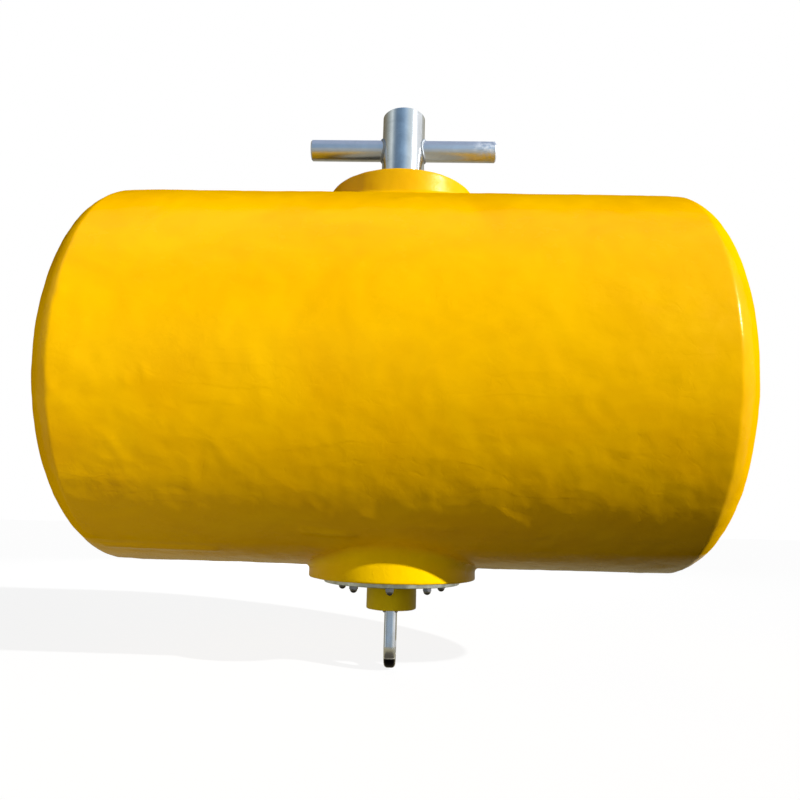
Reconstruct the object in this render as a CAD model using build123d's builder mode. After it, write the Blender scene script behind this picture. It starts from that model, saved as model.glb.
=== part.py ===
from build123d import *

import math
import os

os.makedirs("parts", exist_ok=True)

# A foam mooring buoy: a crowned foam float lying on its side, pierced by a steel tension tube
# that carries a cross bar for hawsers above the float and a mooring eye below it.
# X runs along the float and Z up the tube. The origin is where the two axes cross.

# Float
float_diameter = 1200
float_length = 2000
crown_radius = 2000  # shallow dome on each end
shoulder_radius = 133  # from the dome nearly up to the cylinder
shoulder_depth = 125  # how far the shoulder's centre lies inside the cylinder
knuckle_radius = 30  # rounds the bend between shoulder and cylinder

# Collars, built up round the tube and coated with the float's own skin
upper_collar_diameter = 503
upper_collar_rise = 30.5  # rim above the float's crest
lower_collar_diameter = 520
lower_collar_drop = 35  # rim below the float's keel
collar_embed = 15  # how far each collar's seat lies inside the skin at its side
collar_edge_radius = 5

# Tension tube and its cap
tube_diameter = 150
tube_wall = 10
cap_thickness = 10
cap_edge = 3
end_plate_thickness = 14

# Cross bar through the tube
bar_diameter = 73
bar_length = 658
bar_edge = 4
bar_above_rim = 206.5  # axis of the bar above the upper collar
post_above_bar = 127.5  # top of the post above the axis of the bar
bar_weld_leg = 8
bar_weld_round = 5  # taken off the bead's outer edge

# Bolted flange under the lower collar
flange_diameter = 424
flange_thickness = 15
flange_edge = 1.5
bolt_circle = 310
bolt_count = 8
bolt_hole = 17.5

# Coated stub below the flange
stub_length = 78.5
sleeve_thickness = 2.5

# Mooring eye under the stub
eye_thickness = 35
eye_width = 144
eye_drop = 102  # centre of the shackle hole below the stub
eye_hole = 64
eye_edge_radius = 11
eye_hole_edge = 4
eye_weld_leg = 5

float_radius = float_diameter / 2
tube_radius = tube_diameter / 2
bar_radius = bar_diameter / 2

# Heights, each from the piece that it stands on
upper_rim = float_radius + upper_collar_rise
bar_height = upper_rim + bar_above_rim
post_top = bar_height + post_above_bar
lower_rim = -(float_radius + lower_collar_drop)
flange_face = lower_rim - flange_thickness
stub_end = flange_face - stub_length
eye_centre = stub_end - eye_drop


def seat_height(collar_diameter):
    """Distance from the float's axis to the flat pocket that a collar stands in."""
    return math.sqrt(float_radius**2 - (collar_diameter / 2) ** 2) - collar_embed


upper_seat = seat_height(upper_collar_diameter)
lower_seat = -seat_height(lower_collar_diameter)

# The float's end: the shoulder touches the crown from inside and meets the cylinder at a slight angle
crown_x = float_length / 2 - crown_radius
shoulder_out = float_radius - shoulder_depth
shoulder_x = crown_x + math.sqrt((crown_radius - shoulder_radius) ** 2 - shoulder_out**2)
crown_angle = math.degrees(math.asin(shoulder_out / (crown_radius - shoulder_radius)))
shoulder_angle = math.degrees(math.asin(shoulder_depth / shoulder_radius)) - crown_angle

with BuildPart() as foam_float:
    with BuildSketch(Plane.XZ) as end_profile:
        with BuildLine():
            crown = CenterArc((crown_x, 0), crown_radius, 0, crown_angle)
            shoulder = CenterArc(
                (shoulder_x, shoulder_out), shoulder_radius, crown_angle, shoulder_angle
            )
            Polyline(shoulder @ 1, (0, float_radius), (0, 0), crown @ 0)
        make_face()
        fillet(end_profile.vertices().sort_by_distance(shoulder @ 1)[0], knuckle_radius)
        mirror(about=Plane.YZ)
    revolve(axis=Axis.X)
    with BuildSketch(Plane.XY.offset(upper_seat)):
        Circle(upper_collar_diameter / 2)
    extrude(amount=float_radius, mode=Mode.SUBTRACT)
    with BuildSketch(Plane.XY.offset(lower_seat)):
        Circle(lower_collar_diameter / 2)
    extrude(amount=-float_radius, mode=Mode.SUBTRACT)
    Hole(tube_radius)
foam_float.part.label = "foam_float"
export_step(foam_float.part, "parts/foam_float.step")

with BuildPart() as upper_collar:
    with BuildSketch(Plane.XY.offset(upper_seat)):
        Circle(upper_collar_diameter / 2)
        Circle(tube_radius, mode=Mode.SUBTRACT)
    extrude(amount=upper_rim - upper_seat)
    rim = upper_collar.faces().sort_by(Axis.Z)[-1].edges().sort_by(SortBy.RADIUS)[-1]
    fillet(rim, collar_edge_radius)
upper_collar.part.label = "upper_collar"
export_step(upper_collar.part, "parts/upper_collar.step")

with BuildPart() as lower_collar:
    with BuildSketch(Plane.XY.offset(lower_seat)):
        Circle(lower_collar_diameter / 2)
        Circle(tube_radius, mode=Mode.SUBTRACT)
    extrude(amount=lower_rim - lower_seat)
    rim = lower_collar.faces().sort_by(Axis.Z)[0].edges().sort_by(SortBy.RADIUS)[-1]
    fillet(rim, collar_edge_radius)
lower_collar.part.label = "lower_collar"
export_step(lower_collar.part, "parts/lower_collar.step")

with BuildPart() as tension_tube:
    with BuildSketch(Plane.XY.offset(stub_end + end_plate_thickness)):
        Circle(tube_radius)
        Circle(tube_radius - tube_wall, mode=Mode.SUBTRACT)
    extrude(amount=post_top - cap_thickness - stub_end - end_plate_thickness)
    with BuildSketch(Plane.YZ):
        with Locations((0, bar_height)):
            Circle(bar_radius)
    extrude(amount=tube_diameter, both=True, mode=Mode.SUBTRACT)
tension_tube.part.label = "tension_tube"
export_step(tension_tube.part, "parts/tension_tube.step")

with BuildPart() as tube_cap:
    with BuildSketch(Plane.XY.offset(post_top - cap_thickness)):
        Circle(tube_radius)
    extrude(amount=cap_thickness)
    chamfer(tube_cap.faces().sort_by(Axis.Z)[-1].edges(), cap_edge)
tube_cap.part.label = "tube_cap"
export_step(tube_cap.part, "parts/tube_cap.step")

with BuildPart() as tube_end_plate:
    with BuildSketch(Plane.XY.offset(stub_end)):
        Circle(tube_radius)
    extrude(amount=end_plate_thickness)
tube_end_plate.part.label = "tube_end_plate"
export_step(tube_end_plate.part, "parts/tube_end_plate.step")

with BuildPart() as cross_bar:
    with BuildSketch(Plane.YZ.offset(-bar_length / 2)):
        with Locations((0, bar_height)):
            Circle(bar_radius)
    extrude(amount=bar_length)
    chamfer(cross_bar.edges().filter_by(GeomType.CIRCLE), bar_edge)
cross_bar.part.label = "cross_bar"
export_step(cross_bar.part, "parts/cross_bar.step")

# The weld beads lie between the bar and the tube and the same two shapes one leg larger.
# The block that they are cut from is tall enough for the bar and its bead.
weld_block = bar_diameter + 4 * bar_weld_leg
with BuildPart() as bar_welds:
    with BuildSketch(Plane.XY.offset(bar_height - weld_block / 2)):
        Circle(tube_radius + bar_weld_leg)
    extrude(amount=weld_block)
    with BuildSketch(Plane.YZ):
        with Locations((0, bar_height)):
            Circle(bar_radius + bar_weld_leg)
    extrude(amount=tube_diameter, both=True, mode=Mode.INTERSECT)
    chamfer(bar_welds.edges().filter_by(GeomType.BSPLINE), bar_weld_round)
    with BuildSketch(Plane.XY.offset(bar_height - weld_block / 2)):
        Circle(tube_radius)
    extrude(amount=weld_block, mode=Mode.SUBTRACT)
    with BuildSketch(Plane.YZ):
        with Locations((0, bar_height)):
            Circle(bar_radius)
    extrude(amount=tube_diameter, both=True, mode=Mode.SUBTRACT)
bar_welds.part.label = "bar_welds"
export_step(bar_welds.part, "parts/bar_welds.step")

with BuildPart() as flange_plate:
    with BuildSketch(Plane.XY.offset(flange_face)):
        Circle(flange_diameter / 2)
        Circle(tube_radius, mode=Mode.SUBTRACT)
        with PolarLocations(bolt_circle / 2, bolt_count, start_angle=-90):
            Circle(bolt_hole / 2, mode=Mode.SUBTRACT)
    extrude(amount=flange_thickness)
    outer = flange_plate.edges().filter_by(GeomType.CIRCLE).sort_by(SortBy.RADIUS)[-2:]
    chamfer(outer, flange_edge)
flange_plate.part.label = "flange_plate"
export_step(flange_plate.part, "parts/flange_plate.step")

with BuildPart() as stub_sleeve:
    with BuildSketch(Plane.XY.offset(stub_end)):
        Circle(tube_radius + sleeve_thickness)
        Circle(tube_radius, mode=Mode.SUBTRACT)
    extrude(amount=stub_length)
stub_sleeve.part.label = "stub_sleeve"
export_step(stub_sleeve.part, "parts/stub_sleeve.step")

with BuildPart() as mooring_eye:
    with BuildSketch(Plane.YZ.offset(-eye_thickness / 2)):
        with Locations((0, (stub_end + eye_centre) / 2)):
            Rectangle(eye_width, eye_drop)
        with Locations((0, eye_centre)):
            Circle(eye_width / 2)
            Circle(eye_hole / 2, mode=Mode.SUBTRACT)
    extrude(amount=eye_thickness)
    for side in (Axis.X, -Axis.X):
        cheek = mooring_eye.faces().sort_by(side)[-1]
        fillet(cheek.outer_wire().edges().sort_by(Axis.Z)[:-1], eye_edge_radius)
        chamfer(cheek.inner_wires()[0].edges(), eye_hole_edge)
mooring_eye.part.label = "mooring_eye"
export_step(mooring_eye.part, "parts/mooring_eye.step")

# One weld along each cheek of the eye, as long as the end plate has room for
eye_weld_length = 2 * math.sqrt(tube_radius**2 - (eye_thickness / 2 + eye_weld_leg) ** 2)
with BuildPart() as eye_welds:
    with BuildSketch(Plane.XZ.offset(-eye_weld_length / 2)):
        with BuildLine():
            Polyline(
                (eye_thickness / 2, stub_end),
                (eye_thickness / 2 + eye_weld_leg, stub_end),
                (eye_thickness / 2, stub_end - eye_weld_leg),
                close=True,
            )
        make_face()
    extrude(amount=eye_weld_length)
    mirror(about=Plane.YZ)
eye_welds.part.label = "eye_welds"
export_step(eye_welds.part, "parts/eye_welds.step")
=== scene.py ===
import math

import bpy
from mathutils import Matrix, Vector


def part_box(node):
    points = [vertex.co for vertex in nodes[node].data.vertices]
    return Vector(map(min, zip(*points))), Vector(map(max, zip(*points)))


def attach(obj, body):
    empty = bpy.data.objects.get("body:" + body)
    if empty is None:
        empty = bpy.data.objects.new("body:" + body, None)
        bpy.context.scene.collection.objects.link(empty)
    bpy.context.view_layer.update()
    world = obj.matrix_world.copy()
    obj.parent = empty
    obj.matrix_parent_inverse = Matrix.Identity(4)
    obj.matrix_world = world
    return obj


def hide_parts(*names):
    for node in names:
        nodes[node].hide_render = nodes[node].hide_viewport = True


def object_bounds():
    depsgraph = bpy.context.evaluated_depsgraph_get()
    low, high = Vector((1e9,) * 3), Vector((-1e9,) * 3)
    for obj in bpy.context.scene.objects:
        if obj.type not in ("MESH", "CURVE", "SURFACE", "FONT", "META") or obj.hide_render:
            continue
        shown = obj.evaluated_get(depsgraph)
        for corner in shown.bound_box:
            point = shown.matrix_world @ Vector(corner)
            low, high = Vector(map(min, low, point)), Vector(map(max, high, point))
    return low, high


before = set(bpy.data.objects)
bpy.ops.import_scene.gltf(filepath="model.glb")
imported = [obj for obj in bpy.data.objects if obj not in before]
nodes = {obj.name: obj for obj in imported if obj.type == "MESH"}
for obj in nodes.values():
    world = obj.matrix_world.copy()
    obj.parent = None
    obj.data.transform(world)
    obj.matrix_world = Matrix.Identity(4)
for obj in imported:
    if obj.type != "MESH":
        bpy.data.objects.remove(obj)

cadBox = [list(corner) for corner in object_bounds()]
boxOf = {name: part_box(name) for name in nodes}
print("frame loaded")


# helpers for working on pieces as in the viewport

def deselectAll():
    if bpy.context.object and bpy.context.object.mode == "EDIT":
        bpy.ops.object.mode_set(mode="OBJECT")
    bpy.ops.object.select_all(action="DESELECT")


def selectOnly(piece):
    deselectAll()
    piece.select_set(True)
    bpy.context.view_layer.objects.active = piece


def deletePiece(piece):
    deselectAll()
    piece.select_set(True)
    bpy.ops.object.delete()


def nameActive(name):
    # the piece just added
    piece = bpy.context.object
    piece.name = name
    piece.data.name = name
    return piece


def placeInMesh(piece):
    # object at the origin, its place in its mesh
    selectOnly(piece)
    bpy.ops.object.transform_apply(location=True, rotation=True, scale=True)


def moveInMesh(piece, by):
    selectOnly(piece)
    bpy.ops.transform.translate(value=by)
    placeInMesh(piece)


def turnInMesh(piece, angle, middle=(0, 0, 0)):
    # about an upright line through the middle
    selectOnly(piece)
    bpy.ops.transform.rotate(value=angle, orient_axis="Z", center_override=middle)
    placeInMesh(piece)


def turnedCopy(piece, name, angle):
    # a copy with its own mesh, turned about the tube's axis
    selectOnly(piece)
    bpy.ops.object.duplicate(linked=False)
    copy = nameActive(name)
    turnInMesh(copy, angle)
    return copy


def drawProfile(name, points):
    # one vertex pulled along the outline, point by point
    deselectAll()
    bpy.ops.mesh.primitive_plane_add(size=0.01, location=(0, 0, 0))    # any size: it becomes one point
    piece = nameActive(name)
    bpy.ops.object.mode_set(mode="EDIT")
    bpy.ops.mesh.merge(type="CENTER")
    bpy.ops.transform.translate(value=Vector(points[0]))
    for here, there in zip(points, points[1:]):
        step = Vector(there) - Vector(here)
        bpy.ops.mesh.extrude_vertices_move(TRANSFORM_OT_translate={"value": step})
    return piece


alongFloat = (1, 0, 0)
alongTube = (0, 0, 1)
mergeWithin = 0.00002    # points closer than this, in metres, become one


def spinProfile(name, points, axis, sides):
    piece = drawProfile(name, points)
    bpy.ops.mesh.select_all(action="SELECT")
    bpy.ops.mesh.spin(steps=sides, angle=math.tau, center=(0, 0, 0), axis=axis)
    bpy.ops.mesh.select_all(action="SELECT")
    bpy.ops.mesh.remove_doubles(threshold=mergeWithin)
    bpy.ops.mesh.normals_make_consistent(inside=False)
    bpy.ops.object.mode_set(mode="OBJECT")
    placeInMesh(piece)
    return piece


def arcPoints(centre, radius, fromDeg, toDeg, count):
    # points on an arc of a profile, which lies in two directions
    found = []
    for i in range(count + 1):
        a = math.radians(fromDeg + (toDeg - fromDeg) * i / count)
        found.append((centre[0] + radius * math.cos(a), centre[1] + radius * math.sin(a)))
    return found


def stepsBetween(a, b, step):
    # evenly spaced points on the straight line from a to b, without a itself
    count = max(1, round(math.dist(a, b) / step))
    shares = [i / count for i in range(1, count + 1)]
    return [(a[0] + (b[0] - a[0]) * share, a[1] + (b[1] - a[1]) * share) for share in shares]


def applyModifiers(piece):
    selectOnly(piece)
    for name in [modifier.name for modifier in piece.modifiers]:
        bpy.ops.object.modifier_apply(modifier=name)


def addRelief(piece, name, size, strength, stretch=(1, 1, 1), depth=1, where=None):
    # a cloud texture pushes the surface in and out, within a vertex group if one is named
    deselectAll()
    bpy.ops.object.empty_add(location=(0, 0, 0))
    guide = bpy.context.object
    guide.scale = stretch
    texture = bpy.data.textures.new(name, type="CLOUDS")
    texture.noise_scale = size
    texture.noise_depth = depth
    push = piece.modifiers.new(name, "DISPLACE")
    push.texture = texture
    push.texture_coords = "OBJECT"
    push.texture_coords_object = guide
    push.strength = strength
    push.mid_level = 0.5    # in as much as out
    if where:
        push.vertex_group = where
    bpy.context.view_layer.update()
    applyModifiers(piece)
    deletePiece(guide)


def shadeSmooth(piece, sharpDeg=None):
    # edges bent by more than sharpDeg stay sharp
    selectOnly(piece)
    if sharpDeg is None:
        bpy.ops.object.shade_smooth()
    else:
        bpy.ops.object.shade_smooth_by_angle(angle=math.radians(sharpDeg))


def dress(piece, material):
    piece.data.materials.clear()
    piece.data.materials.append(material)


def finishPiece(piece, material, slotName, *stoodFor):
    dress(piece, material)
    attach(piece, "root")
    if stoodFor:
        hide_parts(*stoodFor)


photoCamera = {
    "place": (0.0755, -2.1587, -0.4595),
    "lens": 29.77,
    "sensorWidth": 36,
    "shiftY": -0.0145,
    "turnDeg": 1.738,      # to the left, seen from above
    "tiltDeg": 11.277,     # up
    "rollDeg": 1.497,
    "nearest": 0.05, "farthest": 200,
}


def makeCamera(c):
    data = bpy.data.cameras.new("photoCamera")
    data.lens = c["lens"]
    data.sensor_width = c["sensorWidth"]
    data.shift_y = c["shiftY"]
    data.clip_start = c["nearest"]
    data.clip_end = c["farthest"]
    camera = bpy.data.objects.new("photoCamera", data)
    bpy.context.scene.collection.objects.link(camera)
    turned = Matrix.Rotation(math.radians(c["turnDeg"]), 4, "Z")
    tilted = Matrix.Rotation(math.radians(90 + c["tiltDeg"]), 4, "X")
    rolled = Matrix.Rotation(math.radians(c["rollDeg"]), 4, "Z")
    camera.matrix_world = Matrix.Translation(c["place"]) @ turned @ tilted @ rolled
    bpy.context.scene.camera = camera


makeCamera(photoCamera)
bpy.context.scene.view_settings.view_transform = "Standard"
print("camera set")


# helpers for node trees

def feed(socket, value):
    # another node's output, or a plain value
    if isinstance(value, bpy.types.NodeSocket):
        socket.id_data.links.new(value, socket)
    else:
        socket.default_value = value


def addNode(tree, kind, **settings):
    made = tree.nodes.new(kind)
    for key, value in settings.items():
        setattr(made, key, value)
    return made


def setInputs(node, **values):
    for key, value in values.items():
        feed(node.inputs[key.replace("_", " ")], value)
    return node


def newMaterial(name):
    material = bpy.data.materials.new(name)
    material.use_nodes = True
    tree = material.node_tree
    tree.nodes.clear()
    return material, tree, tree.nodes.new("ShaderNodeOutputMaterial")


def mathNode(tree, operation, *values):
    made = addNode(tree, "ShaderNodeMath", operation=operation)
    for socket, value in zip(made.inputs, values):
        feed(socket, value)
    return made.outputs[0]


def product(tree, found, *others):
    for other in others:
        found = mathNode(tree, "MULTIPLY", found, other)
    return found


def total(tree, found, *others):
    for other in others:
        found = mathNode(tree, "ADD", found, other)
    return found


def spreadRange(tree, value, lowIn, highIn, lowOut=0.0, highOut=1.0, smooth=False):
    made = addNode(tree, "ShaderNodeMapRange")
    made.interpolation_type = "SMOOTHSTEP" if smooth else "LINEAR"
    for socket, given in zip(made.inputs, (value, lowIn, highIn, lowOut, highOut)):
        feed(socket, given)
    return made.outputs[0]


def mixColours(tree, factor, a, b):
    made = addNode(tree, "ShaderNodeMix", data_type="RGBA")
    feed(made.inputs[0], factor)
    feed(made.inputs[6], a)    # 6 and 7 are the two colours, and 2 is the mixed one
    feed(made.inputs[7], b)
    return made.outputs[2]


def mixShaders(tree, factor, a, b):
    made = addNode(tree, "ShaderNodeMixShader")
    for socket, value in zip(made.inputs, (factor, a, b)):
        feed(socket, value)
    return made.outputs[0]


def glowing(tree, colour, strength=1.0):
    return setInputs(addNode(tree, "ShaderNodeEmission"), Color=colour, Strength=strength).outputs[0]


def objectCoords(tree):
    return addNode(tree, "ShaderNodeTexCoord").outputs["Object"]


def objectPlace(tree):
    # the same as X, Y and Z
    split = addNode(tree, "ShaderNodeSeparateXYZ")
    feed(split.inputs[0], objectCoords(tree))
    return split.outputs


def stretchedCoords(tree, stretch):
    return setInputs(addNode(tree, "ShaderNodeMapping"), Vector=objectCoords(tree), Scale=stretch).outputs[0]


def lengthOf(tree, vector):
    made = addNode(tree, "ShaderNodeVectorMath", operation="LENGTH")
    feed(made.inputs[0], vector)
    return made.outputs["Value"]


def noise(tree, vector, scale, grain):
    # grain: detail, roughness and distortion
    made = setInputs(addNode(tree, "ShaderNodeTexNoise"), Vector=vector, Scale=scale,
                     Detail=grain[0], Roughness=grain[1], Distortion=grain[2])
    return made.outputs[0]


def raysThatSee(tree):
    # 1 for camera, glossy and transmission rays
    rays = addNode(tree, "ShaderNodeLightPath").outputs
    seeing = mathNode(tree, "MAXIMUM", rays["Is Camera Ray"], rays["Is Glossy Ray"])
    return mathNode(tree, "MAXIMUM", seeing, rays["Is Transmission Ray"])


# the stage: a pale floor and backdrop, one sun, two soft lamps, and cards that only show in reflections
stageSetup = {
    "white": (1, 1, 1, 1),
    "floorSize": 60,
    "floorBelow": 0.005,       # the floor lies this far under the eye
    "floorPaint": (0.14, 0.14, 0.14, 1),    # takes the shadow
    "floorWhite": 0.88,
    "floorGlowLeft": (0.44, 0.43, 0.40, 1),    # what the floor sends up to the object
    "floorGlowRight": (0.0, 0.0, 0.0, 1),
    "floorGlow": 0.97,
    "glowFrom": -1.6, "glowTo": 1.1,    # where the left turns into the right
    "skyColour": (0.86, 0.94, 1.0, 1),
    "skyStrength": 0.02,
    "sunPlace": (3, -2, 3),    # only where its mark stands: a sun shines by direction
    "sunToward": (0.7939, -0.4446, 0.4148),
    "sunStrength": 5.08,
    "sunAngleDeg": 0.9,
    "fillPlace": (-1.2, -4.3, 0.1),
    "fillSize": 3.0,
    "fillStrength": 51.0,
    "backPlace": (-0.8, 5.0, 0.2),
    "backSize": 3.0,
    "backStrength": 95.0,
}

cardSetup = {
    "wallRadius": 6.0,
    "wallFoot": -2.2,
    "wallTop": 7.5,
    "wallSides": 72,
    "cardGap": 0.01,           # the flat cards lie this far above the wall's foot and top
    "openDeg": (62, 120),      # where the sun comes in, to the right of the camera
    "hazeColour": (0.50, 0.47, 0.36, 1),
    "hazeMiddle": -0.35, "hazeHalf": 0.65, "hazeEdge": 0.35,    # a sunny haze across the wall, low down
    "wallBands": [             # azimuth: 0 is behind the camera, + is to the right
        (-180, (0.24, 0.22, 0.15, 1)),
        (-165, (0.24, 0.21, 0.14, 1)),
        (-140, (0.20, 0.17, 0.11, 1)),
        (-112, (0.28, 0.26, 0.20, 1)),
        (-88, (0.44, 0.47, 0.44, 1)),
        (-66, (0.82, 0.88, 0.88, 1)),
        (-52, (0.38, 0.46, 0.52, 1)),
        (-40, (0.19, 0.27, 0.37, 1)),
        (-18, (0.20, 0.31, 0.45, 1)),
        (2, (0.33, 0.48, 0.66, 1)),
        (14, (0.52, 0.68, 0.86, 1)),
        (30, (0.72, 0.83, 0.88, 1)),
        (62, (0.86, 0.87, 0.86, 1)),
        (120, (0.58, 0.57, 0.52, 1)),
        (144, (0.60, 0.58, 0.50, 1)),
        (160, (0.26, 0.23, 0.15, 1)),
    ],
    "groundSize": 13.0,
    "groundShaded": (0.11, 0.096, 0.07, 1),    # below the buoy
    "groundSunny": (0.42, 0.37, 0.23, 1),
    "groundTurns": (1.6, 2.8),     # how far from the middle the one turns into the other
    "roofSize": 16.0,
    "roofColour": (0.40, 0.48, 0.64, 1),
}


def makeFloor(s):
    deselectAll()
    bpy.ops.mesh.primitive_plane_add(size=s["floorSize"], location=(0, 0, cadBox[0][2] - s["floorBelow"]))
    floor = bpy.context.object
    floor.name = "studioFloor"
    floor.visible_glossy = False
    material, tree, out = newMaterial("paleFloor")
    across = spreadRange(tree, objectPlace(tree)["X"], s["glowFrom"], s["glowTo"])
    bounce = glowing(tree, mixColours(tree, across, s["floorGlowLeft"], s["floorGlowRight"]), s["floorGlow"])
    paint = setInputs(addNode(tree, "ShaderNodeBsdfDiffuse"), Color=s["floorPaint"])
    seen = addNode(tree, "ShaderNodeAddShader")
    feed(seen.inputs[0], paint.outputs[0])
    feed(seen.inputs[1], glowing(tree, s["white"], s["floorWhite"]))
    feed(out.inputs["Surface"], mixShaders(tree, raysThatSee(tree), bounce, seen.outputs[0]))
    dress(floor, material)


def makeWorld(s):
    world = bpy.data.worlds.new("studioWorld")
    bpy.context.scene.world = world
    world.use_nodes = True
    tree = world.node_tree
    tree.nodes.clear()
    out = addNode(tree, "ShaderNodeOutputWorld")
    soft = setInputs(addNode(tree, "ShaderNodeBackground"), Color=s["skyColour"], Strength=s["skyStrength"])
    white = setInputs(addNode(tree, "ShaderNodeBackground"), Color=s["white"], Strength=1.0)
    feed(out.inputs["Surface"], mixShaders(tree, raysThatSee(tree), soft.outputs[0], white.outputs[0]))


def shineFrom(lamp, place):
    # turned to shine from that place on the middle of the buoy
    lamp.rotation_mode = "QUATERNION"
    lamp.rotation_quaternion = (-Vector(place)).to_track_quat("-Z", "Y")


def makeSun(s):
    deselectAll()
    bpy.ops.object.light_add(type="SUN", location=s["sunPlace"])
    sun = bpy.context.object
    sun.name = "sunLamp"
    sun.data.energy = s["sunStrength"]
    sun.data.angle = math.radians(s["sunAngleDeg"])
    shineFrom(sun, s["sunToward"])


def makeSoftLamp(name, place, size, strength):
    # a broad lamp that doesn't show in reflections
    deselectAll()
    bpy.ops.object.light_add(type="AREA", location=place)
    lamp = bpy.context.object
    lamp.name = name
    lamp.data.shape = "DISK"
    lamp.data.size = size
    lamp.data.energy = strength
    lamp.data.specular_factor = 0.0
    lamp.visible_camera = False
    lamp.visible_glossy = False
    shineFrom(lamp, place)


def finishCard(card, material):
    # shows in reflections only
    dress(card, material)
    card.visible_camera = False
    card.visible_diffuse = False
    card.visible_shadow = False
    card.visible_volume_scatter = False


def makeWallCard(c):
    # a round wall about the object, open towards the sun, painted by azimuth
    deselectAll()
    tall = c["wallTop"] - c["wallFoot"]
    middle = c["wallFoot"] + tall / 2
    bpy.ops.mesh.primitive_cylinder_add(vertices=c["wallSides"], radius=c["wallRadius"], depth=tall,
                                        end_fill_type="NOTHING", location=(0, 0, middle))
    card = nameActive("wallCard")
    bpy.ops.object.mode_set(mode="EDIT")
    bpy.ops.mesh.select_mode(type="FACE")
    bpy.ops.mesh.select_all(action="DESELECT")
    bpy.ops.object.mode_set(mode="OBJECT")
    openFrom, openTo = c["openDeg"]
    for face in card.data.polygons:
        face.select = openFrom < math.degrees(math.atan2(face.center.x, -face.center.y)) < openTo
    bpy.ops.object.mode_set(mode="EDIT")
    bpy.ops.mesh.delete(type="FACE")
    bpy.ops.mesh.select_mode(type="VERT")
    bpy.ops.object.mode_set(mode="OBJECT")
    material, tree, out = newMaterial("wallCardPaint")
    place = objectPlace(tree)
    azimuth = mathNode(tree, "ARCTAN2", place["X"], product(tree, place["Y"], -1.0))
    bands = addNode(tree, "ShaderNodeValToRGB")
    feed(bands.inputs[0], spreadRange(tree, azimuth, -math.pi, math.pi))
    stops = [((towards + 180) / 360, colour) for towards, colour in c["wallBands"]]
    ramp = bands.color_ramp.elements
    ramp[0].position = stops[0][0]
    ramp[0].color = stops[0][1]
    ramp[1].position = stops[-1][0]
    ramp[1].color = stops[-1][1]
    for share, colour in stops[1:-1]:
        ramp.new(share).color = colour
    hazeUp = c["hazeMiddle"] - middle    # the card's own Z starts at its middle
    fromHaze = mathNode(tree, "ABSOLUTE", mathNode(tree, "SUBTRACT", place["Z"], hazeUp))
    clear = spreadRange(tree, fromHaze, c["hazeHalf"], c["hazeHalf"] + c["hazeEdge"], smooth=True)
    painted = mixColours(tree, clear, c["hazeColour"], bands.outputs["Color"])
    feed(out.inputs["Surface"], glowing(tree, painted))
    finishCard(card, material)


def makeFlatCard(name, size, height, colour, outerColour=None, turns=None):
    # of one colour, or of two that turn into each other from the middle outwards
    deselectAll()
    bpy.ops.mesh.primitive_plane_add(size=size, location=(0, 0, height))
    card = bpy.context.object
    card.name = name
    material, tree, out = newMaterial(name + "Paint")
    if outerColour:
        away = spreadRange(tree, lengthOf(tree, objectCoords(tree)), *turns, smooth=True)
        colour = mixColours(tree, away, colour, outerColour)
    feed(out.inputs["Surface"], glowing(tree, colour))
    finishCard(card, material)


makeFloor(stageSetup)
makeWorld(stageSetup)
makeSun(stageSetup)
makeSoftLamp("fillLamp", stageSetup["fillPlace"], stageSetup["fillSize"], stageSetup["fillStrength"])
makeSoftLamp("backLamp", stageSetup["backPlace"], stageSetup["backSize"], stageSetup["backStrength"])
makeWallCard(cardSetup)
makeFlatCard("groundCard", cardSetup["groundSize"], cardSetup["wallFoot"] + cardSetup["cardGap"],
             cardSetup["groundShaded"], cardSetup["groundSunny"], cardSetup["groundTurns"])
makeFlatCard("roofCard", cardSetup["roofSize"], cardSetup["wallTop"] + cardSetup["cardGap"],
             cardSetup["roofColour"])
print("stage set")


# surface effects that several materials use

def newGroup(name, inputs, outputs):
    # every value is a number, but for the stretch
    tree = bpy.data.node_groups.new(name, "ShaderNodeTree")
    for way, labels in (("INPUT", inputs), ("OUTPUT", outputs)):
        for label in labels:
            kind = "NodeSocketVector" if label == "Stretch" else "NodeSocketFloat"
            tree.interface.new_socket(name=label, in_out=way, socket_type=kind)
    return tree, tree.nodes.new("NodeGroupInput").outputs, tree.nodes.new("NodeGroupOutput").inputs


sprayPattern = {
    # detail, roughness and distortion of each noise
    "waveNoise": (3.0, 0.5, 0.6), "runNoise": (3.0, 0.5, 1.4), "coatNoise": (4.0, 0.6, 0.4),
    "pimpleNoise": (1.0, 0.4, 0.0), "patchNoise": (2.0, 0.5, 0.0),
    "toneNoise": (5.0, 0.6, 0.8), "glossNoise": (4.0, 0.6, 0.0),
    "toneScale": 4.0, "glossScale": 11.0, "coatPatchScale": 6.0, "pimplePatchScale": 5.0,
    # from where to where each noise counts
    "pimples": (0.68, 0.80), "tones": (0.34, 0.66), "glosses": (0.35, 0.65),
    "coatPatches": (0.46, 0.62), "pimplePatches": (0.42, 0.62), "pimpleLeast": 0.15,
    # coats overlap like tiles, each thickest at its blunt lower edge, and show most low down
    "coatStretch": (0.55, 1, 1), "coatBend": 4.5, "coatsPerMetre": 17.0, "coatEdge": 0.84,
    "coatHeights": (0.15, -0.15), "coatLeast": 0.12,
    # a run has a ridge along its middle
    "runMiddle": 0.5, "ridgeWidth": 0.12,
    # what each adds to the height, and how much of that is left near the crest
    "waveShare": 0.9, "coatShare": 0.15, "runShare": 0.30, "ridgeShare": 0.06, "pimpleShare": 0.18,
    "crestHeights": (0.45, 0.1), "crestShare": 0.7,
}


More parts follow.
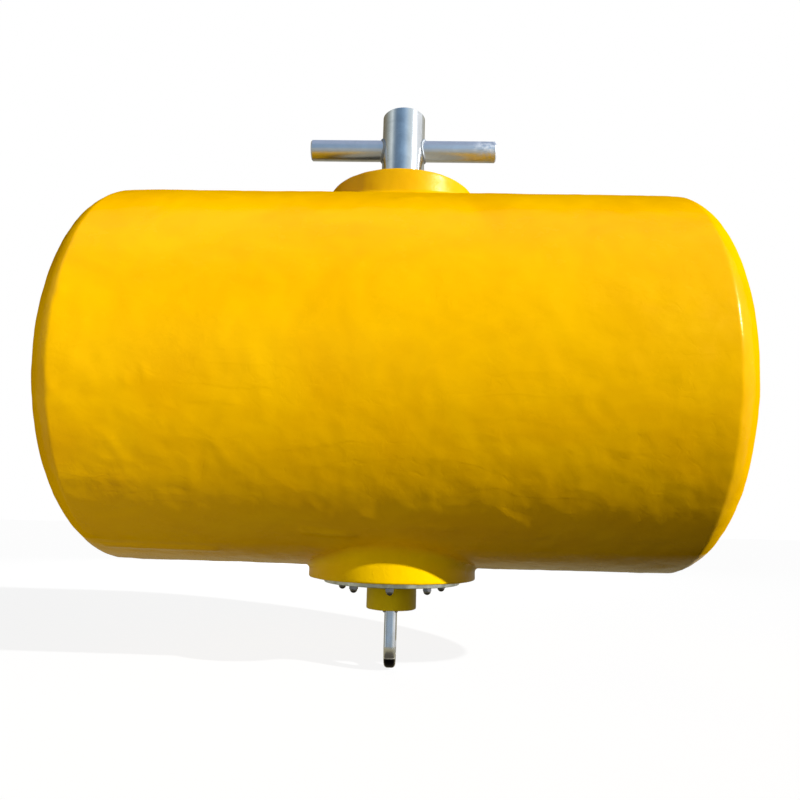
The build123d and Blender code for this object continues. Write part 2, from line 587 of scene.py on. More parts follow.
def makeSprayedSkin(p):
    # low waves, coats, runs and pimples of a sprayed skin, with a mottled tone and gloss
    tree, given, put = newGroup(
        "sprayedSkin",
        ("Wave Scale", "Run Scale", "Coat Scale", "Pimple Scale", "Pimples", "Stretch"),
        ("Height", "Tone", "Gloss"),
    )
    long = stretchedCoords(tree, given["Stretch"])
    flat = stretchedCoords(tree, p["coatStretch"])
    even = objectCoords(tree)
    up = objectPlace(tree)["Z"]

    bends = product(tree, noise(tree, flat, given["Coat Scale"], p["coatNoise"]), p["coatBend"])
    coats = mathNode(tree, "SUBTRACT", bends, product(tree, up, p["coatsPerMetre"]))
    coats = mathNode(tree, "FRACT", coats)
    coats = mathNode(tree, "SUBTRACT", coats, spreadRange(tree, coats, p["coatEdge"], 1.0, smooth=True))
    low = spreadRange(tree, up, *p["coatHeights"], p["coatLeast"], 1.0, smooth=True)
    coatPatches = noise(tree, flat, p["coatPatchScale"], p["patchNoise"])
    coatPatches = spreadRange(tree, coatPatches, *p["coatPatches"], smooth=True)

    waves = noise(tree, long, given["Wave Scale"], p["waveNoise"])
    runs = noise(tree, long, given["Run Scale"], p["runNoise"])
    ridges = mathNode(tree, "ABSOLUTE", mathNode(tree, "SUBTRACT", runs, p["runMiddle"]))
    ridges = spreadRange(tree, ridges, 0.0, p["ridgeWidth"], 1.0, 0.0, smooth=True)
    pimples = noise(tree, even, given["Pimple Scale"], p["pimpleNoise"])
    pimples = spreadRange(tree, pimples, *p["pimples"], smooth=True)
    patches = noise(tree, even, p["pimplePatchScale"], p["patchNoise"])
    patches = spreadRange(tree, patches, *p["pimplePatches"], p["pimpleLeast"], 1.0, smooth=True)

    height = total(
        tree,
        product(tree, waves, p["waveShare"]),
        product(tree, coats, low, coatPatches, p["coatShare"]),
        product(tree, runs, p["runShare"]),
        product(tree, ridges, patches, p["ridgeShare"]),
        product(tree, pimples, patches, given["Pimples"], p["pimpleShare"]),
    )
    calmed = spreadRange(tree, up, *p["crestHeights"], p["crestShare"], 1.0)
    tone = noise(tree, long, p["toneScale"], p["toneNoise"])
    gloss = noise(tree, long, p["glossScale"], p["glossNoise"])
    feed(put["Height"], product(tree, height, calmed))
    feed(put["Tone"], spreadRange(tree, tone, *p["tones"]))
    feed(put["Gloss"], spreadRange(tree, gloss, *p["glosses"]))
    return tree


brushPattern = {
    "lineNoise": (4.0, 0.7, 0.0), "scratchNoise": (2.0, 0.5, 0.3), "patchNoise": (2.0, 0.5, 0.0),
    "smudgeNoise": (4.0, 0.6, 0.5),
    "scratchScale": 0.55,      # of the lines' own scale
    "patchScale": 22.0,
    "scratches": (0.66, 0.72), "scratchPatches": (0.5, 0.62), "smudges": (0.32, 0.68),
}


def makeBrushedGrain(p):
    # fine lines along one direction, sparse deeper scratches, and broad smudges
    tree, given, put = newGroup(
        "brushedGrain",
        ("Stretch", "Line Scale", "Smudge Scale"),
        ("Lines", "Scratches", "Smudges"),
    )
    along = stretchedCoords(tree, given["Stretch"])
    even = objectCoords(tree)
    scratchScale = product(tree, given["Line Scale"], p["scratchScale"])
    scratches = noise(tree, along, scratchScale, p["scratchNoise"])
    scratches = spreadRange(tree, scratches, *p["scratches"], smooth=True)
    patches = noise(tree, even, p["patchScale"], p["patchNoise"])
    patches = spreadRange(tree, patches, *p["scratchPatches"], smooth=True)
    smudges = noise(tree, even, given["Smudge Scale"], p["smudgeNoise"])
    feed(put["Lines"], noise(tree, along, given["Line Scale"], p["lineNoise"]))
    feed(put["Scratches"], product(tree, scratches, patches))
    feed(put["Smudges"], spreadRange(tree, smudges, *p["smudges"]))
    return tree


sprayedSkin = makeSprayedSkin(sprayPattern)
brushedGrain = makeBrushedGrain(brushPattern)


floatSkinLook = {
    "light": (0.93, 0.500, 0.0, 1),
    "deep": (0.86, 0.435, 0.0, 1),
    "waves": 11.0, "runs": 24.0, "coats": 3.0, "pimples": 110.0,    # scales: more is finer
    "pimpleAmount": 0.5,
    "stretch": (0.85, 1.0, 1.0),
    "smooth": 0.20, "dull": 0.30,
    "gleam": (1.0, 0.76, 0.05, 1),    # tint of what the skin reflects
    "specular": 0.26,
    "grazeFrom": 0.20, "grazeTo": 0.64, "grazeSpecular": 0.0,    # less of it where seen edge-on
    "keelFrom": -0.53, "keelTo": -0.575,    # but not near the keel
    "relief": 0.42, "reliefDepth": 0.004,
    "crestFrom": 0.38, "crestTo": 0.50, "crestTone": 0.80,    # painted shade: darker on the float's top
}
upperCollarLook = dict(
    floatSkinLook, light=(0.95, 0.54, 0.0, 1), deep=(0.84, 0.44, 0.0, 1),
    crestFrom=0.33, crestTo=0.58, crestTone=0.90, smooth=0.26, dull=0.40, specular=0.20,
    waves=16.0, runs=48.0, pimples=170.0, pimpleAmount=1.0, stretch=(1, 1, 1), relief=0.6, reliefDepth=0.003,
)
collarRim = boxOf["upper_collar"][1][2]
# the collar's flat top is grimy: heights, and distances from the tube's axis, from clean to grimy
upperCollarTopLook = dict(
    upperCollarLook, gleam=(1.0, 0.84, 0.50, 1), grime=(0.42, 0.42, 0.35, 1), grimeLeast=0.8,
    grimeHeights=(collarRim - 0.006, collarRim - 0.002), grimeEdge=(0.247, 0.234),
)
lowerCollarLook = dict(upperCollarLook, light=(0.96, 0.60, 0.0, 1), deep=(0.88, 0.52, 0.0, 1))
# a fillet's colour turns into the float's between these distances from the tube's axis
upperFilletLook = dict(upperCollarLook, fade=(0.253, 0.262))
lowerFilletLook = dict(lowerCollarLook, fade=(0.262, 0.292))
stubSkinLook = dict(
    upperCollarLook, light=(0.80, 0.56, 0.005, 1), deep=(0.70, 0.46, 0.005, 1),
    smooth=0.28, dull=0.42, stretch=(1, 1, 0.35), relief=0.4, reliefDepth=0.002,
)


def skinMaterial(name, look):
    material, tree, out = newMaterial(name)
    skin = addNode(tree, "ShaderNodeGroup", node_tree=sprayedSkin)
    setInputs(skin, Wave_Scale=look["waves"], Run_Scale=look["runs"], Coat_Scale=look["coats"],
              Pimple_Scale=look["pimples"], Pimples=look["pimpleAmount"], Stretch=look["stretch"])
    tone = skin.outputs["Tone"]
    gloss = skin.outputs["Gloss"]
    up = objectPlace(tree)["Z"]
    fromAxis = lengthOf(tree, stretchedCoords(tree, (1, 1, 0)))    # the tube's axis: Z is left out

    colour = mixColours(tree, tone, look["deep"], look["light"])
    if "fade" in look:
        floatColour = mixColours(tree, tone, floatSkinLook["deep"], floatSkinLook["light"])
        away = spreadRange(tree, fromAxis, *look["fade"], smooth=True)
        colour = mixColours(tree, away, colour, floatColour)
    # painted shade: the colour is darkened towards the top of the piece
    dimmed = addNode(tree, "ShaderNodeVectorMath", operation="SCALE")
    crestShading = spreadRange(tree, up, look["crestFrom"], look["crestTo"], 1.0, look["crestTone"])
    setInputs(dimmed, Vector=colour, Scale=crestShading)
    colour = dimmed.outputs[0]
    if "grime" in look:
        high = spreadRange(tree, up, *look["grimeHeights"])
        inside = spreadRange(tree, fromAxis, *look["grimeEdge"], smooth=True)
        patchy = spreadRange(tree, gloss, 0, 1, look["grimeLeast"], 1.0)
        colour = mixColours(tree, product(tree, high, inside, patchy), colour, look["grime"])

    facing = addNode(tree, "ShaderNodeLayerWeight").outputs["Facing"]
    level = spreadRange(tree, facing, look["grazeFrom"], look["grazeTo"],
                        look["specular"], look["grazeSpecular"], smooth=True)
    keel = spreadRange(tree, up, look["keelFrom"], look["keelTo"], 0.0, look["specular"])
    rough = spreadRange(tree, gloss, 0, 1, look["smooth"], look["dull"])
    bump = addNode(tree, "ShaderNodeBump")
    setInputs(bump, Strength=look["relief"], Distance=look["reliefDepth"], Height=skin.outputs["Height"])
    shader = addNode(tree, "ShaderNodeBsdfPrincipled")
    # this value stays where the link below isn't read
    shader.inputs["Specular IOR Level"].default_value = look["specular"]
    setInputs(shader, Base_Color=colour, Roughness=rough, Specular_Tint=look["gleam"],
              Specular_IOR_Level=mathNode(tree, "MAXIMUM", level, keel), Normal=bump.outputs[0])
    feed(out.inputs["Surface"], shader.outputs[0])
    return material


floatYellow = skinMaterial("floatYellow", floatSkinLook)
upperYellow = skinMaterial("upperCollarYellow", upperCollarTopLook)
lowerYellow = skinMaterial("lowerCollarYellow", lowerCollarLook)
upperFilletYellow = skinMaterial("upperFilletYellow", upperFilletLook)
lowerFilletYellow = skinMaterial("lowerFilletYellow", lowerFilletLook)
stubYellow = skinMaterial("stubYellow", stubSkinLook)


postSteelLook = {
    "bright": (0.72, 0.75, 0.78, 1), "dim": (0.56, 0.59, 0.62, 1),
    "stretch": (1.0, 1.0, 30.0), "lines": 26.0, "smudges": 16.0,
    "smooth": 0.11, "dull": 0.17,
    "relief": 0.05, "reliefDepth": 0.0004,
    "scratchDull": 0.2, "scratchDepth": 0.6,
}
barSteelLook = dict(
    postSteelLook, bright=(0.72, 0.74, 0.78, 1), dim=(0.60, 0.62, 0.66, 1),
    stretch=(30.0, 1.0, 1.0), smooth=0.29, dull=0.35, relief=0.01,
    wornPlace=(0.22, 0.29), wornDull=0.28,    # chafed by hawsers towards its right end
    wornScale=55.0, wornNoise=(3.0, 0.6, 0.0), wornMarks=(0.40, 0.56),
)
weldSteelLook = dict(
    postSteelLook, bright=(0.38, 0.40, 0.42, 1), dim=(0.26, 0.28, 0.30, 1),
    stretch=(1, 1, 1), lines=160.0, smooth=0.50, dull=0.66, relief=0.3,
)
eyeSteelLook = dict(
    postSteelLook, bright=(0.74, 0.76, 0.80, 1), dim=(0.58, 0.61, 0.66, 1),
    stretch=(1.0, 1.0, 0.1), lines=60.0, smooth=0.17, dull=0.27, relief=0.2,
    tip=(0.012, 0.012, 0.014, 1), tipHeights=(-0.867, -0.870),    # painted reflection: its lower end is dark, mirroring the shaded ground below, under a painted light line
    lineColour=(0.92, 0.92, 0.90, 1), lineHeight=-0.8650, lineHalf=(0.0018, 0.0008), lineDull=0.3,
)
flangeLook = dict(
    postSteelLook, bright=(0.80, 0.84, 0.79, 1), dim=(0.46, 0.50, 0.46, 1),
    stretch=(1, 1, 1), lines=70.0, smudges=30.0, smooth=0.36, dull=0.55, relief=0.2,
)
boltLook = dict(
    postSteelLook, bright=(0.25, 0.25, 0.26, 1), dim=(0.09, 0.09, 0.10, 1),
    stretch=(1, 1, 1), lines=120.0, smooth=0.08, dull=0.18,
)


def steelMaterial(name, look):
    material, tree, out = newMaterial(name)
    grain = addNode(tree, "ShaderNodeGroup", node_tree=brushedGrain)
    setInputs(grain, Stretch=look["stretch"], Line_Scale=look["lines"], Smudge_Scale=look["smudges"])
    smudges = grain.outputs["Smudges"]
    scratches = grain.outputs["Scratches"]
    place = objectPlace(tree)
    colour = mixColours(tree, smudges, look["dim"], look["bright"])
    rough = spreadRange(tree, smudges, 0, 1, look["dull"], look["smooth"])
    if "tip" in look:
        # painted reflection: a dark lower end, and a painted light line just above it
        darkReflection = spreadRange(tree, place["Z"], *look["tipHeights"], smooth=True)
        fromLine = mathNode(tree, "ABSOLUTE", mathNode(tree, "SUBTRACT", place["Z"], look["lineHeight"]))
        line = spreadRange(tree, fromLine, *look["lineHalf"], smooth=True)
        colour = mixColours(tree, darkReflection, colour, look["tip"])
        colour = mixColours(tree, line, colour, look["lineColour"])
        rough = total(tree, rough, product(tree, line, look["lineDull"]))
    if "wornPlace" in look:
        worn = spreadRange(tree, place["X"], *look["wornPlace"], smooth=True)
        marks = noise(tree, objectCoords(tree), look["wornScale"], look["wornNoise"])
        marks = spreadRange(tree, marks, *look["wornMarks"])
        rough = total(tree, rough, product(tree, worn, marks, look["wornDull"]))
    rough = total(tree, rough, product(tree, scratches, look["scratchDull"]))
    cuts = product(tree, scratches, look["scratchDepth"])
    height = mathNode(tree, "SUBTRACT", grain.outputs["Lines"], cuts)
    bump = addNode(tree, "ShaderNodeBump")
    setInputs(bump, Strength=look["relief"], Distance=look["reliefDepth"], Height=height)
    shader = addNode(tree, "ShaderNodeBsdfPrincipled")
    setInputs(shader, Base_Color=colour, Metallic=1.0, Roughness=rough, Normal=bump.outputs[0])
    feed(out.inputs["Surface"], shader.outputs[0])
    return material


postSteel = steelMaterial("postSteel", postSteelLook)
barSteel = steelMaterial("barSteel", barSteelLook)
weldSteel = steelMaterial("weldSteel", weldSteelLook)
eyeSteel = steelMaterial("eyeSteel", eyeSteelLook)
flangeSteel = steelMaterial("flangeSteel", flangeLook)
boltSteel = steelMaterial("boltSteel", boltLook)

for nodeName, material in (
    ("tension_tube", postSteel), ("tube_cap", postSteel), ("cross_bar", barSteel), ("bar_welds", weldSteel),
    ("eye_welds", weldSteel), ("mooring_eye", eyeSteel), ("flange_plate", flangeSteel),
    ("tube_end_plate", stubYellow), ("stub_sleeve", stubYellow),
    ("foam_float", floatYellow), ("upper_collar", upperYellow), ("lower_collar", lowerYellow),
):
    dress(nodes[nodeName], material)
print("materials made")


floatShape = {
    "halfLength": boxOf["foam_float"][1][0] - 0.002,    # the lumps grow out from here
    "radius": boxOf["foam_float"][1][1],
    "crownRadius": 2.0,
    "shoulderRadius": 0.133,
    "shoulderDepth": 0.125,     # its centre lies this far inside the cylinder
    "knuckleRadius": 0.030,
    "step": 0.0105,
    "knuckleSteps": 4,
    "sides": 320,
    "broadLump": 0.0032, "broadSize": 0.30,
    "lump": 0.0024, "lumpSize": 0.060,
    "sag": 0.0016, "sagSize": 0.034,    # sags, which gather low down
    "sagFrom": 0.25, "sagTo": -0.15,
    # the corners at both ends are rounded off near crest and keel
    "soften": 0.005, "keelSoften": 0.45,    # and the keel's by this share of it
    "softenFrom": 0.38,    # as high or low as this
    "softenInset": 0.133, "softenWidth": 0.055,    # how far from the end, and how broadly
    "softenDown": 0.94, "softenInward": 0.34,    # shares of the push
}
floatDrips = [
    # from and to, as place along the float and degrees above its axis; half width; height
    ((0.282, -45), (0.406, -55), 0.013, 0.0020),
    ((-0.231, -55.4), (-0.099, -56.7), 0.010, 0.0064),
    ((-0.814, -66.4), (-0.498, -67.1), 0.010, 0.0060),
    ((-0.842, -38.0), (-0.690, -39.2), 0.019, 0.0016),
    ((-0.640, -38.9), (-0.510, -38.2), 0.021, 0.0014),
    ((0.060, -52), (0.170, -53), 0.012, 0.0022),
    ((0.006, 48.5), (0.055, 49.8), 0.013, 0.0036),
    ((-0.708, -26), (-0.665, -33), 0.009, 0.0011),
    ((-0.454, -25), (-0.407, -31), 0.009, 0.0010),
    ((-0.720, -33), (-0.640, -34), 0.010, 0.0012),
    ((0.560, -33), (0.640, -37), 0.009, 0.0010),
    ((0.700, -35), (0.740, -36), 0.009, 0.0009),
    ((-0.650, -13.0), (-0.649, -13.8), 0.010, 0.0024),
    ((-0.603, -10.4), (-0.601, -12.2), 0.009, 0.0024),
    ((-0.838, 8.0), (-0.837, 9.0), 0.009, 0.0026),
    ((-0.838, -15.0), (-0.837, -15.8), 0.009, 0.0026),
    ((-0.826, -59.2), (-0.822, -60.4), 0.012, 0.0040),
]
bellReach = 3    # a bell-shaped rise is flat beyond this many half widths


def floatProfile(f):
    # from the middle of one end over crown, shoulder and knuckle to the other end
    shoulder = f["shoulderRadius"]
    knuckle = f["knuckleRadius"]
    crownX = f["halfLength"] - f["crownRadius"]
    shoulderOut = f["radius"] - f["shoulderDepth"]
    shoulderX = crownX + math.sqrt((f["crownRadius"] - shoulder) ** 2 - shoulderOut ** 2)
    knuckleOut = f["radius"] - knuckle
    knuckleX = shoulderX + math.sqrt((shoulder - knuckle) ** 2 - (knuckleOut - shoulderOut) ** 2)
    crownLean = math.degrees(math.atan2(shoulderOut, shoulderX - crownX))
    bendLean = math.degrees(math.atan2(knuckleOut - shoulderOut, knuckleX - shoulderX))
    crownSteps = round(math.radians(crownLean) * f["crownRadius"] / f["step"])
    shoulderSteps = round(math.radians(bendLean - crownLean) * shoulder / f["step"])
    half = arcPoints((crownX, 0), f["crownRadius"], 0, crownLean, crownSteps)
    half += arcPoints((shoulderX, shoulderOut), shoulder, crownLean, bendLean, shoulderSteps)[1:]
    half += arcPoints((knuckleX, knuckleOut), knuckle, bendLean, 90, f["knuckleSteps"])[1:]
    wallSteps = round(2 * knuckleX / f["step"])
    wall = [(knuckleX - 2 * knuckleX * i / wallSteps, f["radius"]) for i in range(1, wallSteps)]
    both = half + wall + [(-x, out) for x, out in reversed(half)]
    return [(x, 0, out) for x, out in both]


def softenCorners(piece, f):
    cornerX = f["halfLength"] - f["softenInset"]
    for point in piece.data.vertices:
        x, y, z = point.co
        high = (abs(z) - f["softenFrom"]) / (f["radius"] - f["softenFrom"])
        if high > 0 and abs(x) > cornerX - bellReach * f["softenWidth"]:
            out = math.hypot(y, z)
            off = math.hypot(abs(x) - cornerX, out - f["radius"]) / f["softenWidth"]
            push = f["soften"] * high * math.exp(-off * off) * (1 if z > 0 else f["keelSoften"])
            shrink = 1 - push * f["softenDown"] / out
            point.co = (x - math.copysign(push * f["softenInward"], x), y * shrink, z * shrink)


def addDrips(piece, drips, radius):
    # short rounded ridges on the front of the cylinder, each along its own line
    for (fromX, fromDeg), (toX, toDeg), halfWidth, tall in drips:
        start = Vector((fromX, radius * math.radians(fromDeg)))
        line = Vector((toX, radius * math.radians(toDeg))) - start
        for point in piece.data.vertices:
            x, y, z = point.co
            if y > 0 or abs(x - (fromX + toX) / 2) > abs(toX - fromX) / 2 + halfWidth * bellReach:
                continue
            here = Vector((x, radius * math.atan2(z, -y)))
            along = max(0.0, min(1.0, (here - start).dot(line) / line.length_squared))
            off = (here - start - line * along).length / halfWidth
            if off < bellReach:
                grow = tall * math.exp(-off * off) / math.hypot(y, z)
                point.co = (x, y + y * grow, z + z * grow)


def makeFloat(f):
    piece = spinProfile("floatSkin", floatProfile(f), alongFloat, f["sides"])
    softenCorners(piece, f)
    low = piece.vertex_groups.new(name="low")
    for point in piece.data.vertices:
        share = (point.co.z - f["sagFrom"]) / (f["sagTo"] - f["sagFrom"])
        if share > 0:
            low.add([point.index], min(share, 1), "REPLACE")
    addRelief(piece, "broadLumps", f["broadSize"], f["broadLump"])
    addRelief(piece, "sprayLumps", f["lumpSize"], f["lump"])
    addRelief(piece, "spraySags", f["sagSize"], f["sag"], where="low")
    addDrips(piece, floatDrips, f["radius"])
    shadeSmooth(piece)
    finishPiece(piece, floatYellow, "float_skin", "foam_float")
    return piece


floatSkin = makeFloat(floatShape)
print("float made,", len(floatSkin.data.vertices), "points")


upperCollarShape = {
    "radius": boxOf["upper_collar"][1][0],
    "rim": boxOf["upper_collar"][1][2],          # height of its flat top
    "foot": 0.530,         # inside the float
    "edge": 0.0055,
    "bore": 0.0753,        # just clear of the tube
    "turnUp": 0.006,       # where the skin climbs the steel
    "lip": 0.0012,         # and how thick it is there
    "step": 0.008, "footStep": 0.03, "edgeSteps": 5,
    "sides": 200,
    "lump": 0.0022, "lumpSize": 0.045,
    "filletSide": 0.008,   # on the float's crest line, where the wall is low
    "filletFront": 0.012,  # on its flanks, where the wall is high
    "filletIn": 0.007, "filletLip": 0.002, "filletOver": 0.003,    # its root inside the collar's wall
    "filletToe": [(1.25, 0.0004), (1.5, 0.004), (0.7, 0.008)],    # share of its width, and depth in the float
    "filletSteps": 12, "filletSides": 240, "filletLump": 0.0022,
}
lowerCollarShape = dict(
    upperCollarShape, radius=boxOf["lower_collar"][1][0], rim=-boxOf["lower_collar"][0][2],
    filletSide=0.012, filletFront=0.040, filletLump=0.0030, lump=0.0016,
)


def collarProfile(c, side):
    # up the bore, over the turned-up lip, across the flat, and down the wall; side is -1 under the float
    edgeOut = c["radius"] - c["edge"]
    lipOut = c["bore"] + c["lip"]
    lipTop = c["rim"] + c["turnUp"]
    path = [(c["bore"], c["foot"]), (c["bore"], lipTop), (lipOut, lipTop)]
    path += arcPoints((lipOut + c["turnUp"], lipTop), c["turnUp"], 180, 270, c["edgeSteps"])[1:]
    path += stepsBetween(path[-1], (edgeOut, c["rim"]), c["step"])
    path += arcPoints((edgeOut, c["rim"] - c["edge"]), c["edge"], 90, 0, c["edgeSteps"])[1:]
    path += stepsBetween(path[-1], (c["radius"], c["foot"]), c["step"])
    path += stepsBetween(path[-1], path[0], c["footStep"])
    return [(out, 0, up * side) for out, up in path]


def makeCollar(name, c, side, material, node):
    piece = spinProfile(name, collarProfile(c, side), alongTube, c["sides"])
    addRelief(piece, name + "Lumps", c["lumpSize"], c["lump"], depth=2)
    shadeSmooth(piece, sharpDeg=50)
    finishPiece(piece, material, "collar_skin", node)


def filletProfile(c, side):
    # drawn on a flat ground, as narrow as it is on the crest line
    wall = c["radius"]
    wide = c["filletSide"]
    inside = wall - c["filletIn"]
    top = wide + c["filletOver"]
    root = (inside, -c["filletToe"][-1][1])
    path = [root, (inside, top), (wall - c["filletLip"], top)]
    path += [(wall + out, up) for out, up in arcPoints((wide, wide), wide, 180, 270, c["filletSteps"])]
    path += [(wall + wide * share, -deep) for share, deep in c["filletToe"]]
    path.append(root)
    return [(out, 0, up * side) for out, up in path]


def makeFillet(name, c, side, material):
    # a hollow sweep from the collar's wall into the float, laid on the float point by point
    piece = spinProfile(name, filletProfile(c, side), alongTube, c["filletSides"])
    wall = c["radius"]
    grow = c["filletFront"] / c["filletSide"] - 1
    for point in piece.data.vertices:
        out = math.hypot(point.co.x, point.co.y)
        wider = 1 + grow * (point.co.y / out) ** 2
        if out > wall - c["filletLip"] / 2:
            point.co.xy *= (wall + (out - wall) * wider) / out
        if point.co.z * side > 0:
            point.co.z *= wider
        # where a ray from well above meets the float, or from well below
        ground = floatSkin.ray_cast((point.co.x, point.co.y, side), (0, 0, -side))[1]
        point.co.z += ground.z
    addRelief(piece, name + "Lumps", c["lumpSize"], c["filletLump"], depth=2)
    shadeSmooth(piece, sharpDeg=70)
    finishPiece(piece, material, "collar_skin")


makeCollar("upperCollarSkin", upperCollarShape, 1, upperYellow, "upper_collar")
makeCollar("lowerCollarSkin", lowerCollarShape, -1, lowerYellow, "lower_collar")
makeFillet("upperCollarFillet", upperCollarShape, 1, upperFilletYellow)
makeFillet("lowerCollarFillet", lowerCollarShape, -1, lowerFilletYellow)
print("collars made")


coatGap = 0.0002    # keeps the stub's coating off the faces that it meets
stubShape = {
    "radius": boxOf["stub_sleeve"][1][0],
    "top": boxOf["stub_sleeve"][1][2] - coatGap,
    "end": boxOf["stub_sleeve"][0][2] - coatGap,
    "bore": boxOf["tension_tube"][1][0] + coatGap,
    "floor": boxOf["tube_end_plate"][1][2] - coatGap,
    "rimRound": 0.0035, "rimSteps": 5,
    "flare": 0.003, "flareSteps": 4,    # a little bead of skin against the flange
    "endStep": 0.008, "wallStep": 0.006,
    "sides": 120,
    "lump": 0.0010, "lumpSize": 0.03, "lumpStretch": (1, 1, 2),
}


def makeStub(t):
    wall = t["radius"]
    flat = wall - t["rimRound"]
    under = t["top"] - t["flare"]
    path = [(0, t["end"])]
    path += stepsBetween(path[-1], (flat, t["end"]), t["endStep"])
    path += arcPoints((flat, t["end"] + t["rimRound"]), t["rimRound"], 270, 360, t["rimSteps"])[1:]
    path += stepsBetween(path[-1], (wall, under), t["wallStep"])
    path += arcPoints((wall + t["flare"], under), t["flare"], 180, 90, t["flareSteps"])[1:]
    path += [(t["bore"], t["top"]), (t["bore"], t["floor"]), (0, t["floor"])]
    piece = spinProfile("stubSkin", [(out, 0, up) for out, up in path], alongTube, t["sides"])
    addRelief(piece, "stubLumps", t["lumpSize"], t["lump"], stretch=t["lumpStretch"])
    shadeSmooth(piece, sharpDeg=50)
    finishPiece(piece, stubYellow, "stub_skin", "stub_sleeve", "tube_end_plate")


makeStub(stubShape)
print("stub made")


barWeldShape = {
    "postRadius": boxOf["tension_tube"][1][0],
    "barRadius": boxOf["cross_bar"][1][1],
    "barHeight": (boxOf["cross_bar"][0][2] + boxOf["cross_bar"][1][2]) / 2,
    "bead": 0.0046, "beadSides": 12,
    "standOff": 0.0014,    # how far the bead's middle stands off both steels
    "ripples": 64, "rippleSteps": 5,
    "ripple": 0.13, "rippleLean": 1.3,
}
eyeWeldShape = {
    "length": 0.138,
    "bead": 0.0050, "beadSides": 14,
    "cheek": boxOf["mooring_eye"][1][0] + 0.0005,    # the bead's middle, just off the cheek
    "under": boxOf["mooring_eye"][1][2] - 0.0006,    # and just under the end plate
    "ripples": 34, "rippleSteps": 6,
    "ripple": 0.12,
    "tip": 0.6,                       # of the bead's radius, past its last ring
    "endShare": 0.45, "taper": 8,     # how full its ends are, and how fast it fills out
}


def finishWeldPair(right, leftName, node):
    shadeSmooth(right)
    finishPiece(right, weldSteel, "weld_steel", node)
    left = turnedCopy(right, leftName, math.pi)
    finishPiece(left, weldSteel, "weld_steel", node)


def makeBarWelds(w):
    # a ring bead round the bar, bent onto the post, with its ripples drawn across it
    deselectAll()
    around = w["barRadius"] + w["standOff"]
    bpy.ops.mesh.primitive_torus_add(major_radius=around, minor_radius=w["bead"],
                                     major_segments=w["ripples"] * w["rippleSteps"],
                                     minor_segments=w["beadSides"], rotation=(0, math.pi / 2, 0))
    piece = nameActive("barWeldRight")
    placeInMesh(piece)
    onto = w["postRadius"] + w["standOff"]
    for point in piece.data.vertices:
        x, y, z = point.co
        angle = math.atan2(z, y)
        midY = around * math.cos(angle)
        midZ = around * math.sin(angle)
        across = math.atan2(math.hypot(y, z) - around, x)
        grow = 1 + w["ripple"] * math.sin(w["ripples"] * angle - w["rippleLean"] * math.cos(across))
        grownY = midY + (y - midY) * grow
        grownZ = midZ + (z - midZ) * grow
        point.co = (x * grow + math.sqrt(onto ** 2 - grownY ** 2), grownY, grownZ + w["barHeight"])
    finishWeldPair(piece, "barWeldLeft", "bar_welds")


def makeEyeWelds(w):
    # a straight bead along each cheek of the eye, as if laid from end to end
    count = w["ripples"] * w["rippleSteps"]
    tip = w["length"] / 2 + w["bead"] * w["tip"]
    points = [(-tip, 0, 0)]
    for i in range(count + 1):
        t = i / count
        full = min(1.0, w["taper"] * min(t, 1 - t) + w["endShare"])
        ripple = 1 + w["ripple"] * math.sin(math.tau * w["ripples"] * t)
        points.append((w["length"] * (t - 0.5), 0, w["bead"] * math.sqrt(full) * ripple))
    points.append((tip, 0, 0))
    piece = spinProfile("eyeWeldRight", points, alongFloat, w["beadSides"])
    turnInMesh(piece, math.pi / 2)    # now across the float, along the cheek
    moveInMesh(piece, (w["cheek"], 0, w["under"]))
    finishWeldPair(piece, "eyeWeldLeft", "eye_welds")


makeBarWelds(barWeldShape)
makeEyeWelds(eyeWeldShape)
print("welds made")


fastenerShape = {
    "count": 8,
    "circle": 0.155,
    "face": boxOf["flange_plate"][0][2],
    "washerRadius": 0.0145, "washerBore": 0.0088, "washerThick": 0.003, "washerRound": 0.0005,
    "washerSides": 48,
    "nutAcross": 0.024, "hexTall": 0.0115, "chamfer": 0.0018, "faceShare": 0.97,
    "domeRadius": 0.0112, "domeTall": 0.0105, "domeStep": 0.0002, "domeSteps": 12,
    "nutSides": 72,
    "nutTurnDeg": 23,      # each nut is turned this much more than the one before
}


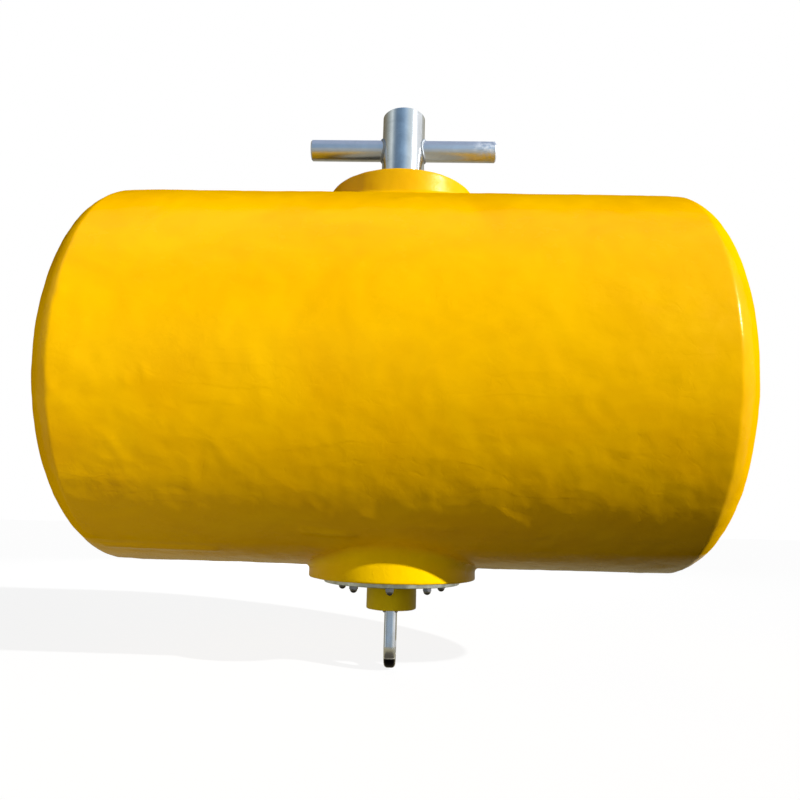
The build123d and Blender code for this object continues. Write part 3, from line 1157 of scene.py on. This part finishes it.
def makeWasher(b):
    top = b["face"]
    low = top - b["washerThick"]
    bore = b["washerBore"]
    out = b["washerRadius"]
    r = b["washerRound"]
    path = [(bore, top), (bore, low + r), (bore + r, low), (out - r, low)]
    path += [(out, low + r), (out, top - r), (out - r, top), (bore, top)]
    piece = spinProfile("flangeWasher1", [(d, 0, z) for d, z in path], alongTube, b["washerSides"])
    shadeSmooth(piece, sharpDeg=30)
    return piece


def makeNut(b):
    # a turned blank with coned faces and a domed end, cut to six flats
    top = b["face"] - b["washerThick"]
    low = top - b["hexTall"]
    corner = b["nutAcross"] / math.sqrt(3)
    flat = b["nutAcross"] / 2 * b["faceShare"]
    cone = b["chamfer"]
    dome = b["domeRadius"]
    tall = b["domeTall"]
    path = [(0, top), (flat, top), (corner, top - cone), (corner, low + cone), (flat, low)]
    path.append((dome + b["domeStep"], low))
    for i in range(b["domeSteps"]):
        a = math.pi / (2 * b["domeSteps"]) * i
        path.append((dome * math.cos(a), low - tall * math.sin(a)))
    path.append((0, low - tall))
    piece = spinProfile("flangeNut1", [(d, 0, z) for d, z in path], alongTube, b["nutSides"])
    deselectAll()
    pastBothEnds = (b["hexTall"] + tall) * 3
    bpy.ops.mesh.primitive_cylinder_add(vertices=6, radius=corner, depth=pastBothEnds, location=(0, 0, low))
    flats = bpy.context.object
    cut = piece.modifiers.new("sixFlats", "BOOLEAN")
    cut.operation = "INTERSECT"
    cut.solver = "EXACT"
    cut.object = flats
    applyModifiers(piece)
    deletePiece(flats)
    shadeSmooth(piece, sharpDeg=20)
    return piece


def makeFasteners(b):
    made = []
    for piece in (makeWasher(b), makeNut(b)):
        moveInMesh(piece, (0, -b["circle"], 0))
        made.append(piece)
        kind = piece.name[:-1]
        for k in range(1, b["count"]):
            copy = turnedCopy(piece, kind + str(k + 1), math.tau * k / b["count"])
            if kind == "flangeNut":
                points = [point.co for point in copy.data.vertices]
                spot = sum(points, Vector()) / len(points)
                turnInMesh(copy, math.radians(b["nutTurnDeg"] * k), spot)
            made.append(copy)
    for piece in made:
        finishPiece(piece, boltSteel, "flange_steel")


makeFasteners(fastenerShape)
print("fasteners made")
